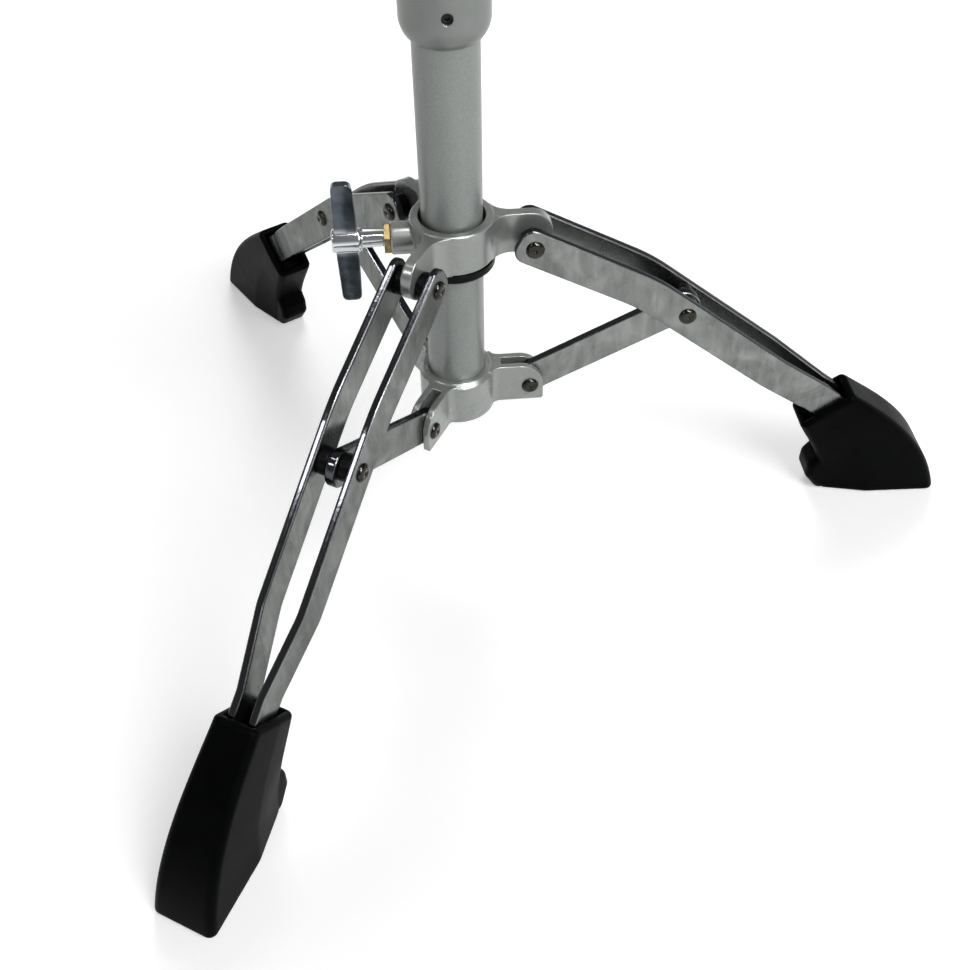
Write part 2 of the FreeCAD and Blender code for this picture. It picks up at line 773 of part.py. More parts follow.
def wing_blades(radius):
    # Two curved blades on a round hub, made along Z with the hub's inner end at 0
    halves = []
    for hand in (1, -1):
        rows = []
        for offset in (wing_blade_thick / 2, -wing_blade_thick / 2):
            spots = []
            for share in wing_bow_shares:
                bow = wing_blade_sag * share ** 2 + offset
                spots.append(Vector(hand * wing_blade_half * share, bow, 0))
            rows.append(spots)
        edges = [Part.Arc(*rows[0]).toShape(), Part.makeLine(rows[0][2], rows[1][2])]
        edges += [Part.Arc(*reversed(rows[1])).toShape(), Part.makeLine(rows[1][0], rows[0][0])]
        halves.append(Part.Face(Part.Wire(edges)).extrude(Vector(0, 0, wing_hub_length)))
    middle = wing_hub_length / 2
    root_half = wing_blade_width / 2
    tip_half = wing_blade_tip_width / 2
    outline = plate([
        (-wing_blade_half, middle - tip_half, wing_blade_round),
        (0, middle - root_half, 0),
        (wing_blade_half, middle - tip_half, wing_blade_round),
        (wing_blade_half, middle + tip_half, wing_blade_round),
        (0, middle + root_half, 0),
        (-wing_blade_half, middle + tip_half, wing_blade_round),
    ], wing_blade_half)
    blades = [half.common(outline) for half in halves]
    hub = turned_profile([
        (0, 0, 0),
        (radius, 0, wing_hub_round),
        (radius, wing_hub_length, wing_hub_round),
        (0, wing_hub_length, 0),
    ])
    return fused([hub] + blades)


def wing_head():
    # Wing with a round neck that takes the screw's end, made along Z from the neck's end at 0
    neck = rod(wing_neck_radius, 0, wing_neck_length + wing_hub_round)
    blades = at(wing_blades(wing_hub_radius), Vector(0, 0, wing_neck_length))
    return fused([blades, neck]).cut(rod(wing_screw_radius + seat_gap, -overrun, wing_screw_hold))


def collar_wing():
    # The blades stand upright at rest
    return turned(at(lie_x(wing_head()), Vector(collar_wing_start, 0, wing_height)), wing_azimuth)


def collar_wing_screw():
    screw = rod(wing_screw_radius, tube_radius + lift_gap, collar_wing_start + wing_screw_hold - seat_gap)
    return turned(at(lie_x(screw), Vector(0, 0, wing_height)), wing_azimuth)


def clamp_housing():
    belly_height = housing_foot_height + housing_shoulder * housing_belly_share
    shoulder_height = housing_foot_height + housing_shoulder
    rim = tube_radius + housing_rim_wall
    belly = rim + (housing_radius - rim) * housing_swell_share
    spots = [side(rim, housing_foot_height), side(belly, belly_height), side(housing_radius, shoulder_height)]
    top = side(housing_radius, housing_top)
    edges = [
        Part.makeLine(side(0, housing_foot_height), spots[0]),
        Part.Arc(*spots).toShape(),
        Part.makeLine(spots[2], top),
        Part.makeLine(top, side(0, housing_top)),
        Part.makeLine(side(0, housing_top), side(0, housing_foot_height)),
    ]
    body = Part.Face(Part.Wire(edges)).revolve(Vector(0, 0, 0), Vector(0, 0, 1), 360)
    low = lug_height_mid - lug_height / 2
    high = lug_height_mid + lug_height / 2
    ears = lug(housing_radius, lug_thick + housing_slit / 2, lug_fillet, [
        (0, low, 0),
        (lug_reach, low, lug_round),
        (lug_reach, high, lug_round),
        (0, high, 0),
    ])
    body = fused([body, turned(ears, wing_azimuth)])
    body = body.cut(rod(tube_radius + seat_gap, housing_foot_height - overrun, tube_top_height + seat_gap))
    body = body.cut(rod(clamp_bush_radius + seat_gap, tube_top_height, housing_top + overrun))
    slit = Part.makeBox(lug_reach * 2, housing_slit, housing_length)
    slit = at(slit, Vector(0, -housing_slit / 2, tube_top_height + clamp_bush_rest_gap))
    half = lug_thick + housing_slit
    screw_hole = hole_y(wing_screw_radius + running_gap, half, lug_screw_reach, lug_height_mid)
    body = body.cut([turned(slit, wing_azimuth), turned(screw_hole, wing_azimuth), nut_place(seat_gap)])
    hole = lie_x(rod(set_screw_hole_radius, tube_radius, housing_radius + overrun))
    hole = turned(at(hole, Vector(0, 0, housing_foot_height + set_screw_height)), set_screw_azimuth)
    return body.cut(hole)


def nut_place(gap):
    # Hexagonal nut let into the rear lug of the clamp
    floor = housing_slit / 2 + lug_thick - clamp_nut_sink
    nut = hexagon(clamp_nut_flats + gap * 2, -floor - clamp_nut_thick, gap - floor)
    return turned(at(lie_y(nut), side(lug_screw_reach, lug_height_mid)), wing_azimuth)


def clamp_nut():
    hole = hole_y(wing_screw_radius + running_gap, lug_reach, lug_screw_reach, lug_height_mid)
    return nut_place(0).cut(turned(hole, wing_azimuth))


def clamp_set_screw():
    start = tube_radius + seat_gap
    screw = rod(set_screw_hole_radius - seat_gap, start, start + set_screw_length)
    screw = screw.cut(hexagon(set_screw_socket * 2, start + set_screw_length - set_screw_socket_depth,
                              start + set_screw_length + overrun))
    return turned(at(lie_x(screw), Vector(0, 0, housing_foot_height + set_screw_height)), set_screw_azimuth)


def clamp_bush():
    foot_height = tube_top_height + clamp_bush_rest_gap
    flange = clamp_bush_radius + clamp_bush_flange_out
    bush = turned_profile([
        (clamp_bush_bore, foot_height, 0),
        (clamp_bush_radius, foot_height, 0),
        (clamp_bush_radius, housing_top + seat_gap, 0),
        (flange, housing_top + seat_gap, 0),
        (flange, clamp_bush_top, housing_top_round),
        (clamp_bush_bore, clamp_bush_top, 0),
    ])
    slit = Part.makeBox(lug_reach, housing_slit, housing_length * 2)
    slit = at(slit, Vector(0, -housing_slit / 2, foot_height - overrun))
    return bush.cut(turned(slit, wing_azimuth))


def clamp_wing():
    # The wing sits on the side of the lug away from the nut, at the front of the stand
    wing = at(lie_y(wing_head()), Vector(lug_screw_reach, clamp_wing_start, lug_height_mid))
    return turned(wing, wing_azimuth)


def clamp_screw():
    rear = housing_slit / 2 + lug_thick - clamp_nut_sink + clamp_nut_thick
    screw = lie_y(rod(wing_screw_radius, -rear, clamp_wing_start + wing_screw_hold - seat_gap))
    return turned(at(screw, side(lug_screw_reach, lug_height_mid)), wing_azimuth)


def upper_tube():
    bore = upper_tube_radius - upper_tube_wall
    return tube(upper_tube_radius, bore, upper_tube_foot_height, upper_tube_top_height)


def tube_glide():
    # Nylon plug in the foot of the upper tube, it centres the tube in the base tube
    plug_radius = upper_tube_radius - upper_tube_wall - seat_gap
    wide = tube_radius - tube_wall - lift_gap
    foot_height = upper_tube_foot_height - glide_lip
    return turned_profile([
        (0, foot_height, 0),
        (wide, foot_height, spacer_chamfer),
        (wide, upper_tube_foot_height - seat_gap, 0),
        (plug_radius, upper_tube_foot_height - seat_gap, 0),
        (plug_radius, foot_height + glide_length, spacer_chamfer),
        (0, foot_height + glide_length, 0),
    ])


def memory_lock():
    top = lock_foot + lock_height
    ring = turned_profile([
        (0, lock_foot, 0),
        (lock_radius, lock_foot, lock_round),
        (lock_radius, top, lock_round),
        (0, top, 0),
    ])
    lug_end = lock_radius + lock_lug_length
    ears = lug(lock_radius, lock_lug_half, lock_round, [
        (0, lock_foot, 0),
        (lug_end, lock_foot, lock_lug_round),
        (lug_end, top, lock_lug_round),
        (0, top, 0),
    ])
    body = fused([ring, ears]).cut(rod(upper_tube_radius + seat_gap, lock_foot - overrun, top + overrun))
    slit = Part.makeBox(lug_end * 2, lock_slit, lock_height * 2)
    slit = at(slit, Vector(0, -lock_slit / 2, lock_foot - overrun))
    half = lock_lug_half + overrun
    hole = hole_y(lock_bolt_radius + seat_gap, half, lock_bolt_reach, lock_foot + lock_height / 2)
    return body.cut([slit, hole])


def memory_lock_bolt():
    # Square-headed key bolt across the lug of the memory lock
    head = Part.makeBox(lock_bolt_head, lock_bolt_head, lock_bolt_head_length)
    head = at(head, Vector(-lock_bolt_head / 2, -lock_bolt_head / 2, lock_lug_half + seat_gap))
    rims = [edge for edge in head.Edges if edge.BoundBox.ZLength < running_gap]
    head = head.makeChamfer(spacer_chamfer, rims)
    shank = rod(lock_bolt_radius, -lock_lug_half, lock_lug_half + lock_bolt_head_length / 2)
    bolt = lie_y(fused([head, shank])).mirror(Vector(0, 0, 0), Vector(0, 1, 0))
    return at(bolt, side(lock_bolt_reach, lock_foot + lock_height / 2))


def tilter_cheek(low, half_low):
    # Disc about the cross bolt with a neck that widens down, or up, to its root
    neck_top = tilter_axis_height
    corners = [
        (-half_low, low, 0),
        (half_low, low, 0),
        (tilter_disc_radius - tilter_block_round, neck_top, 0),
        (-tilter_disc_radius + tilter_block_round, neck_top, 0),
    ]
    neck = plate(corners, tilter_disc_thick / 2)
    disc = hole_y(tilter_disc_radius, tilter_disc_thick / 2, 0, tilter_axis_height)
    return fused([disc, neck])


def tilter_base():
    shift = tilter_disc_thick / 2 + lift_gap / 2
    cap_top = upper_tube_top_height + tilter_cap
    socket = turned_profile([
        (0, tilter_socket_foot, 0),
        (tilter_socket_radius, tilter_socket_foot, tilter_socket_round / 2),
        (tilter_socket_radius, cap_top, tilter_socket_round),
        (0, cap_top, 0),
    ])
    cheek = at(tilter_cheek(upper_tube_top_height, tilter_neck_half), Vector(0, shift, 0))
    body = fused([socket, cheek])
    bore = upper_tube_radius + seat_gap
    body = body.cut(rod(bore, tilter_socket_foot - overrun, upper_tube_top_height + seat_gap))
    reach = tilter_disc_thick * 2 + tilter_bolt_head
    return body.cut(hole_y(tilter_bolt_radius + seat_gap, reach, 0, tilter_axis_height))


def tilter_head():
    shift = tilter_disc_thick / 2 + lift_gap / 2
    cheek = at(tilter_cheek(block_foot + tilter_block_round, tilter_block_half), Vector(0, -shift, 0))
    depth = tilter_disc_thick + lift_gap / 2
    block = plate([
        (-tilter_block_half, -depth, tilter_block_round),
        (tilter_block_half, -depth, tilter_block_round),
        (tilter_block_half, depth, tilter_block_round),
        (-tilter_block_half, depth, tilter_block_round),
    ], tilter_block_height / 2, plan)
    block = at(block, Vector(0, 0, block_foot + tilter_block_height / 2))
    body = fused([cheek, block])
    reach = tilter_disc_thick * 2 + tilter_bolt_head
    body = body.cut(hole_y(tilter_bolt_radius + running_gap, reach, 0, tilter_axis_height))
    return body.cut(rod(post_radius + seat_gap, block_top - post_sink, block_top + overrun))


def tilter_bolt():
    outer = tilter_disc_thick + lift_gap / 2
    far = outer + lift_gap + wing_hub_length + tilter_bolt_out
    shank = rod(tilter_bolt_radius, -far, outer + tilter_bolt_head / 2)
    head = hexagon(tilter_bolt_flats, outer + seat_gap, outer + seat_gap + tilter_bolt_head)
    return at(lie_y(fused([shank, head])), Vector(0, 0, tilter_axis_height))


def tilter_wing_nut():
    outer = tilter_disc_thick + lift_gap / 2 + lift_gap
    bore = rod(tilter_bolt_radius + running_gap, -overrun, wing_hub_length + overrun)
    nut = lie_y(wing_blades(tilter_nut_radius).cut(bore)).mirror(Vector(0, 0, 0), Vector(0, 1, 0))
    return at(nut, Vector(0, -outer, tilter_axis_height))


def basket_post():
    foot_height = block_top - post_sink + seat_gap
    return turned_profile([
        (0, foot_height, 0),
        (post_radius, foot_height, 0),
        (post_radius, block_top + post_top_rise, post_round),
        (0, block_top + post_top_rise, 0),
    ])


def arm_pin():
    # Pin of one arm, across the slot in the hub
    return hole_y(arm_pin_radius, arm_pin_length / 2, arm_pivot_reach, arm_pivot_height)


def basket_hub():
    hub = turned_profile([
        (post_radius + seat_gap, block_top, 0),
        (hub_radius, block_top, hub_round),
        (hub_radius, hub_top, hub_round),
        (hub_well_radius, hub_top, 0),
        (hub_well_radius, block_top + hub_well_floor, 0),
        (post_radius + seat_gap, block_top + hub_well_floor, 0),
    ])
    width = arm_thick + side_gap * 2
    slot = Part.makeBox(hub_radius * 2, width, hub_height * 2)
    start = arm_pivot_reach - arm_tail_reach - arm_tail_radius - side_gap * 2
    slot = at(slot, Vector(start, -width / 2, block_top + hub_floor))
    half = arm_pin_length / 2 + seat_gap
    pin_hole = hole_y(arm_pin_radius + seat_gap, half, arm_pivot_reach, arm_pivot_height)
    return hub.cut(around(slot, arm_azimuth) + around(pin_hole, arm_azimuth))


# Arms of the basket and their path in the side view
arm_pivot = Vector(arm_pivot_reach, arm_pivot_height, 0)
arm_corner = step(arm_pivot, arm_run, arm_slope)
arm_tip = step(arm_corner, arm_corner_run, arm_corner_slope)


def arm_outline(extra):
    # The arm from its pivot to its upturned tip, grown by an extra margin
    path = [arm_pivot, arm_corner, arm_tip]
    tip_round = arm_tip_round + extra
    return strip(path, arm_half_height + extra, [arm_corner_radius], [0, tip_round])


def arm():
    bar = plate(arm_outline(0), arm_thick / 2)
    rims = [edge for edge in bar.Edges if edge.BoundBox.YLength < running_gap]
    rims = [edge for edge in rims if edge.BoundBox.XMax > hub_radius]
    bar = bar.makeFillet(arm_edge_round, rims)
    eye = hole_y(arm_half_height, arm_thick / 2, arm_pivot.x, arm_pivot.y)
    nose_across = arm_pivot.x - arm_tail_reach
    nose = hole_y(arm_tail_radius, arm_thick / 2, nose_across, arm_pivot.y)
    neck = plate([
        (nose_across, arm_pivot.y - arm_neck_half, 0),
        (arm_pivot.x, arm_pivot.y - arm_neck_half, 0),
        (arm_pivot.x, arm_pivot.y + arm_neck_half, 0),
        (nose_across, arm_pivot.y + arm_neck_half, 0),
    ], arm_thick / 2)
    whole = fused([bar, eye, nose, neck])
    return whole.cut(hole_y(arm_pin_radius + running_gap, arm_thick, arm_pivot.x, arm_pivot.y))


def grip():
    # Rubber claw over the arm's tip: a seat under the drum's hoop and a hook above it
    out = (arm_tip - arm_corner).normalize()
    inward = Vector(-out.y, out.x, 0)
    along = (arm_corner - arm_pivot).normalize()
    up = Vector(-along.y, along.x, 0)
    inner = arm_half_height + grip_wall
    top = arm_tip + out * grip_top
    seat_start = arm_corner - along * (grip_seat_reach + inner)
    seat_top = seat_start + up * (arm_half_height + grip_seat_thick)
    corner = arm_corner + inward * inner + out * (arm_half_height + grip_seat_thick)
    hook_low = top + inward * inner - out * grip_hook_height
    hook_tip = hook_low + inward * grip_hook
    hook_top = top + inward * (inner + grip_hook)
    back_top = top - inward * inner
    back_low = arm_corner - inward * inner + out * grip_back_drop
    heel = arm_corner + inward * arm_half_height + up * arm_half_height
    corners = [
        (seat_start.x + up.x * arm_half_height, seat_start.y + up.y * arm_half_height, 0),
        (heel.x, heel.y, 0),
        (back_low.x, back_low.y, grip_round),
        (back_top.x, back_top.y, grip_round * 2),
        (hook_top.x, hook_top.y, grip_round),
        (hook_tip.x, hook_tip.y, grip_round),
        (hook_low.x, hook_low.y, grip_round),
        (corner.x, corner.y, grip_round),
        (seat_top.x, seat_top.y, grip_round),
    ]
    body = plate(corners, grip_half)
    rims = [edge for edge in body.Edges if edge.BoundBox.YLength < running_gap]
    body = body.makeFillet(grip_edge_round, rims)
    # Grooves across the seat and the upright, where the drum's hoop rests
    spots = [seat_top + along * (grip_groove_step * (number + 1)) for number in range(grip_seat_grooves)]
    spots += [hook_low - out * (grip_groove_step * (number + 1)) for number in range(grip_back_grooves)]
    grooves = [hole_y(grip_groove_radius, grip_half + overrun, spot.x, spot.y) for spot in spots]
    return body.cut(grooves + [plate(arm_outline(seat_gap), arm_thick / 2 + seat_gap)])


def basket_spool():
    return tube(spool_radius, post_radius + running_gap, spool_foot, spool_foot + spool_thick)


def basket_nut():
    # Hand nut with scalloped sides
    nut = turned_profile([
        (post_radius + running_gap, nut_foot, 0),
        (nut_radius, nut_foot, nut_round),
        (nut_radius, nut_foot + nut_height, nut_round),
        (post_radius + running_gap, nut_foot + nut_height, 0),
    ])
    scallop = rod(nut_lobe_radius, nut_foot - overrun, nut_foot + nut_height + overrun)
    scallop = at(scallop, plan(nut_radius + nut_lobe_out, 0))
    return nut.cut([turned(scallop, 360.0 / nut_lobes * number) for number in range(nut_lobes)])


def save(name, shapes):
    # One file for each named piece, a group where the piece is repeated
    shapes = shapes if isinstance(shapes, list) else [shapes]
    solids = [solid for shape in shapes for solid in shape.Solids]
    shape = solids[0] if len(solids) == 1 else Part.makeCompound(solids)
    shape.exportStep("parts/" + name + ".step")


stay_rivet = at(rivet(cheek_outer_half), side(pivot_reach, lower_pivot_height))

# Pieces that stand once
save("base_tube", base_tube())
save("stay_collar", stay_collar())
save("stay_rivets", around(stay_rivet))
save("stay_collar_pin", stay_pin(0, 0))
save("clamp_housing", clamp_housing())
save("clamp_bush", clamp_bush())
save("clamp_set_screw", clamp_set_screw())
save("clamp_nut", clamp_nut())
save("clamp_wing", clamp_wing())
save("clamp_screw", clamp_screw())
save("leg_collar", leg_collar())
save("collar_bush", collar_bush())
save("collar_nut", collar_nut())
save("collar_wing", collar_wing())
save("collar_wing_screw", collar_wing_screw())
save("upper_tube", upper_tube())
save("tube_glide", tube_glide())
save("memory_lock", memory_lock())
save("memory_lock_bolt", memory_lock_bolt())
save("tilter_base", tilter_base())
save("tilter_head", tilter_head())
save("tilter_bolt", tilter_bolt())
save("tilter_wing_nut", tilter_wing_nut())
save("basket_post", basket_post())
save("basket_hub", basket_hub())
save("arm_pins", around(arm_pin(), arm_azimuth))
save("basket_spool", basket_spool())
save("basket_nut", basket_nut())

# Pieces that repeat round the tube
leg_pieces = {
    "leg_%d_bar_left": [leg_bar(1)],
    "leg_%d_bar_right": [leg_bar(-1)],
    "leg_%d_foot": [foot()],
    "leg_%d_rivets": leg_rivets(),
    "leg_%d_spacers": leg_spacers(),
    "stay_%d": [stay()],
}
arm_pieces = {"arm_%d": [arm()], "grip_%d": [grip()]}
for number in range(leg_count):
    for name, shapes in leg_pieces.items():
        save(name % (number + 1), [turned(shape, leg_step * number) for shape in shapes])
    for name, shapes in arm_pieces.items():
        save(name % (number + 1), [turned(shape, arm_azimuth + leg_step * number) for shape in shapes])
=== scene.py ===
import json
import math

import bpy
import numpy as np
from mathutils import Matrix, Vector


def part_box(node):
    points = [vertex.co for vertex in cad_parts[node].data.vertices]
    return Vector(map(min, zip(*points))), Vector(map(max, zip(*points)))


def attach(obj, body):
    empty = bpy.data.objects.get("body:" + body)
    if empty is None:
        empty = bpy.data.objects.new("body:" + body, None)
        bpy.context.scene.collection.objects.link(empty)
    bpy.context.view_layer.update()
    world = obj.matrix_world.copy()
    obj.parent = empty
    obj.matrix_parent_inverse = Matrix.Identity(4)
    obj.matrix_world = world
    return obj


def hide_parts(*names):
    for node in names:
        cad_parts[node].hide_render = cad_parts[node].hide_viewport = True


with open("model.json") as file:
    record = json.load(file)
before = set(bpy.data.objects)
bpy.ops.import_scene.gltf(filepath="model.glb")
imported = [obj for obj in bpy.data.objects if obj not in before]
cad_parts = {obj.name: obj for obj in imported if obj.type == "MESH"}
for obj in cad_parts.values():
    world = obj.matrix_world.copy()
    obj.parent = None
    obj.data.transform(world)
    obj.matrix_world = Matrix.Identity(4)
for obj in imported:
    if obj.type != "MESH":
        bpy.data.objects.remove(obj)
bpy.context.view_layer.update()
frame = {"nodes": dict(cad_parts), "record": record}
nodes = frame["nodes"]
scene = bpy.context.scene
print("frame loaded:", len(nodes), "nodes")


# Camera: a place, the point it looks at, and a small roll in degrees
photoCamera = {
    "place": Vector((-0.01809, -0.40352, 0.43707)),
    "target": Vector((0.01126, 0.0, 0.01286)),
    "roll": -0.848,
    "lens": 41.68,
    "sensor": 36.0,
    "shift": (0.0024, -0.0015),
    "nearest": 0.01,
}


def makeCamera(setup):
    forward = (setup["target"] - setup["place"]).normalized()
    level = forward.cross(Vector((0, 0, 1))).normalized()
    upright = level.cross(forward)
    roll = math.radians(setup["roll"])
    right = level * math.cos(roll) + upright * math.sin(roll)
    up = upright * math.cos(roll) - level * math.sin(roll)
    data = bpy.data.cameras.new("photoCamera")
    data.sensor_width = setup["sensor"]
    data.lens = setup["lens"]
    data.shift_x, data.shift_y = setup["shift"]
    data.clip_start = setup["nearest"]
    camera = bpy.data.objects.new("photoCamera", data)
    turn = Matrix((right, up, -forward)).transposed().to_4x4()
    camera.matrix_world = Matrix.Translation(setup["place"]) @ turn
    scene.collection.objects.link(camera)
    scene.camera = camera


makeCamera(photoCamera)
print("camera set")


# Small helpers for building node materials
def feed(tree, socket, value):
    # Another node's output is linked, a plain value is set
    if isinstance(value, bpy.types.NodeSocket):
        tree.links.new(value, socket)
    else:
        socket.default_value = value


def addNode(tree, kind, **inputs):
    node = tree.nodes.new("ShaderNode" + kind)
    for name, value in inputs.items():
        feed(tree, node.inputs[name.replace("_", " ")], value)
    return node


def ramp(tree, factor, stops):
    # A stop is a place from 0 to 1 with a colour or a grey
    node = addNode(tree, "ValToRGB", Fac=factor)
    band = node.color_ramp
    while len(band.elements) < len(stops):
        band.elements.new(0.5)
    for element, (place, shade) in zip(band.elements, stops):
        element.position = place
        element.color = (*shade, 1.0) if hasattr(shade, "__len__") else (shade, shade, shade, 1.0)
    return node.outputs["Color"]


def noise(tree, where, scale, detail=3.0, roughness=0.55, distortion=0.0):
    node = addNode(tree, "TexNoise", Vector=where, Scale=scale, Detail=detail,
                   Roughness=roughness, Distortion=distortion)
    return node.outputs["Fac"]


def mapRange(tree, value, low, high, fromLow=0.3, fromHigh=0.7):
    # Most of a noise lies between 0.3 and 0.7
    node = addNode(tree, "MapRange", Value=value, From_Min=fromLow, From_Max=fromHigh,
                   To_Min=low, To_Max=high)
    return node.outputs["Result"]


def math2(tree, operation, first, second):
    node = addNode(tree, "Math")
    node.operation = operation
    feed(tree, node.inputs[0], first)
    feed(tree, node.inputs[1], second)
    return node.outputs[0]


def vectorMath(tree, operation, first, second=(0.0, 0.0, 0.0)):
    node = addNode(tree, "VectorMath")
    node.operation = operation
    feed(tree, node.inputs[0], first)
    feed(tree, node.inputs[1], second)
    return node.outputs["Value"]


def surfacePlace(tree, scale=(1.0, 1.0, 1.0)):
    # Place on the object; a pattern is drawn out along an axis where the scale is small
    place = addNode(tree, "TexCoord").outputs["Object"]
    return addNode(tree, "Mapping", Vector=place, Scale=scale).outputs["Vector"]


def acrossShare(tree, vector, azimuth):
    # Share of a vector that lies across the leg or arm at this azimuth
    angle = math.radians(azimuth)
    return vectorMath(tree, "DOT_PRODUCT", vector, (-math.sin(angle), math.cos(angle), 0.0))


def softEdges(tree, radius):
    # Rounded-edge normal, so that an edge of the solid catches light as a real edge does
    node = addNode(tree, "Bevel", Radius=radius)
    node.samples = 8
    return node.outputs["Normal"]


def mixColor(tree, factor, first, second):
    # In this node the colours are inputs 6 and 7, and the mixed colour is output 2
    node = tree.nodes.new("ShaderNodeMix")
    node.data_type = "RGBA"
    feed(tree, node.inputs[0], factor)
    for socket, value in ((node.inputs[6], first), (node.inputs[7], second)):
        feed(tree, socket, (*value, 1.0) if isinstance(value, tuple) else value)
    return node.outputs[2]


def newFinish(name, metallic):
    material = bpy.data.materials.new(name)
    material.use_nodes = True
    tree = material.node_tree
    shader = tree.nodes["Principled BSDF"]
    shader.inputs["Metallic"].default_value = metallic
    return material, tree, shader


def finishSurface(tree, shader, setup, color, roughness, height):
    # Colour, roughness and bump go in; the bump stands on the rounded-edge normal
    tree.links.new(color, shader.inputs["Base Color"])
    tree.links.new(roughness, shader.inputs["Roughness"])
    rounded = softEdges(tree, setup["edge"])
    bump = addNode(tree, "Bump", Height=height, Strength=1.0, Distance=setup["depth"], Normal=rounded)
    tree.links.new(bump.outputs["Normal"], shader.inputs["Normal"])


# In a finish, tones are the stops of its colour ramp, and rough is its roughness at low and high noise
# A noise is given by scale per metre, detail, roughness and distortion, without those left as usual
# Depth is the height of the bump and edge the radius of the rounded edges, in metres
tubeFinish = {
    "metallic": 0.35,
    "tones": ((0.25, (0.185, 0.201, 0.193)), (0.75, (0.30, 0.317, 0.302))),
    "rough": (0.30, 0.40),
    "grain": (1100.0, 3.0, 0.7),
    "drawn": (1400.0, 2.0),
    "drawnAlong": (1.0, 1.0, 0.02),
    "cloud": (45.0, 3.0),
    "cloudAlong": (1.0, 1.0, 0.5),
    "grainShare": 0.6,
    "bumpGrainShare": 0.5,
    "depth": 0.00002,
    "edge": 0.0004,
}


def satinTube(setup):
    # Satin plated tube: fine grain and faint draw lines along the length
    material, tree, shader = newFinish("satinTube", setup["metallic"])
    grain = noise(tree, surfacePlace(tree), *setup["grain"])
    drawn = noise(tree, surfacePlace(tree, setup["drawnAlong"]), *setup["drawn"])
    cloud = noise(tree, surfacePlace(tree, setup["cloudAlong"]), *setup["cloud"])
    color = ramp(tree, mixColor(tree, setup["grainShare"], cloud, grain), setup["tones"])
    rough = mapRange(tree, cloud, *setup["rough"])
    height = mixColor(tree, setup["bumpGrainShare"], drawn, grain)
    finishSurface(tree, shader, setup, color, rough, height)
    return material


castBody = {
    "metallic": 0.55,
    "flake": (2600.0, 1.0),
    "peel": (420.0, 2.0),
    "cloud": (55.0, 2.0),
    "flakeShare": 0.12,
    "depth": 0.000003,
    "edge": 0.0009,
}
castFinish = {
    **castBody,
    "tones": ((0.28, (0.262, 0.277, 0.266)), (0.72, (0.322, 0.336, 0.322))),
    "rough": (0.24, 0.31),
}
housingFinish = {
    **castBody,
    "tones": ((0.28, (0.18, 0.191, 0.184)), (0.72, (0.225, 0.236, 0.226))),
    "rough": (0.30, 0.38),
}


def satinCast(name, setup):
    # Silver lacquer on a die casting: fine flake, light orange peel, softly rounded edges
    material, tree, shader = newFinish(name, setup["metallic"])
    where = surfacePlace(tree)
    flake = noise(tree, where, *setup["flake"])
    peel = noise(tree, where, *setup["peel"])
    cloud = noise(tree, where, *setup["cloud"])
    color = ramp(tree, mixColor(tree, setup["flakeShare"], cloud, flake), setup["tones"])
    finishSurface(tree, shader, setup, color, mapRange(tree, cloud, *setup["rough"]), peel)
    return material


barFinish = {
    "metallic": 1.0,
    "grazing": 0.5,
    "tones": ((0.34, (0.15, 0.158, 0.152)), (0.5, (0.215, 0.226, 0.217)), (0.66, (0.30, 0.312, 0.30))),
    "rough": (0.32, 0.18),
    # The edges' dark colour is a painted dark reflection, not the steel's own tone
    "darkReflectionEdgeColor": (0.075, 0.076, 0.084),
    "edgeRough": 0.09,
    "faceFrom": (0.45, 0.97),
    "cloud": (52.0, 5.0, 0.55, 1.2),
    "stroke": (300.0, 3.0, 0.5, 0.6),
    "strokeAlong": (1.0, 1.0, 0.22),
    "strokeTurn": (0.5, 0.4, 0.0),
    "strokeShare": 0.34,
    "fine": (1600.0, 2.0),
    "fineShare": 0.08,
    "depth": 0.00010,
    "edge": 0.0014,
}


def mottledBar(setup, azimuth):
    # Plated flat bar: cloudy, slanting polish marks on its faces and mirror-like edges whose dark colour is
    # a painted dark reflection
    # A face looks across the leg, so the normal's share along that line tells face from edge
    material, tree, shader = newFinish("mottledBar%d" % azimuth, setup["metallic"])
    shader.inputs["Specular Tint"].default_value = (*[setup["grazing"]] * 3, 1.0)  # dull at a flat glance
    where = surfacePlace(tree)
    cloud = noise(tree, where, *setup["cloud"])
    slant = addNode(tree, "Mapping", Vector=where, Scale=setup["strokeAlong"], Rotation=setup["strokeTurn"])
    stroke = noise(tree, slant.outputs["Vector"], *setup["stroke"])
    fine = noise(tree, where, *setup["fine"])
    marks = mixColor(tree, setup["strokeShare"], cloud, stroke)
    mixed = mixColor(tree, setup["fineShare"], marks, fine)
    face = ramp(tree, mixed, setup["tones"])
    own = addNode(tree, "VectorTransform", Vector=softEdges(tree, setup["edge"]))
    own.vector_type = "NORMAL"
    own.convert_from = "WORLD"
    own.convert_to = "OBJECT"
    facing = acrossShare(tree, own.outputs["Vector"], azimuth)
    isFace = mapRange(tree, math2(tree, "ABSOLUTE", facing, 0.0), 0.0, 1.0, *setup["faceFrom"])
    # Edges get the painted dark reflection colour, faces their mottled tone
    color = mixColor(tree, isFace, setup["darkReflectionEdgeColor"], face)
    rough = addNode(tree, "Mix", Factor=isFace)  # its inputs 2 and 3 are the two numbers
    feed(tree, rough.inputs[2], setup["edgeRough"])
    feed(tree, rough.inputs[3], mapRange(tree, mixed, *setup["rough"]))
    finishSurface(tree, shader, setup, color, rough.outputs[0], cloud)
    return material


chromeFinish = {
    "metallic": 1.0,
    "tones": ((0.3, (0.40, 0.42, 0.44)), (0.65, (0.54, 0.56, 0.58))),
    "rough": (0.04, 0.09),
    "haze": (140.0, 5.0, 0.6),
    "wave": (220.0, 1.0),
    "depth": 0.000008,
    "edge": 0.0005,
}


